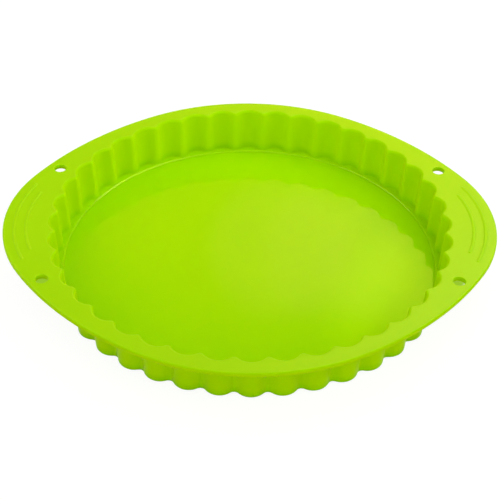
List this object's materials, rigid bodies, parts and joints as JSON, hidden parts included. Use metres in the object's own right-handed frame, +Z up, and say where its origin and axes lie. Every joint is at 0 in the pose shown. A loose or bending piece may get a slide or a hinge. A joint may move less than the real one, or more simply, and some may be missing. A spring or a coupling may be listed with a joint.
{
  "type": "fluted flan mould",
  "caption": "Round fluted flan mould: scalloped wall, flat floor with a slightly sunken centre, and a flat flange drawn out into tab handles with hanging holes.",
  "frame": {"origin": "on the table, under the centre of the round floor", "axes": "+X from the middle towards the handle that is on the right in the picture, +Y away from the camera, +Z up through the open mouth"},
  "size_m": [0.319, 0.2808, 0.0325],
  "materials": {
    "silicone": "satin"
  },
  "bodies": {
    "root": {"flan_mould": "silicone"}
  },
  "joints": []
}
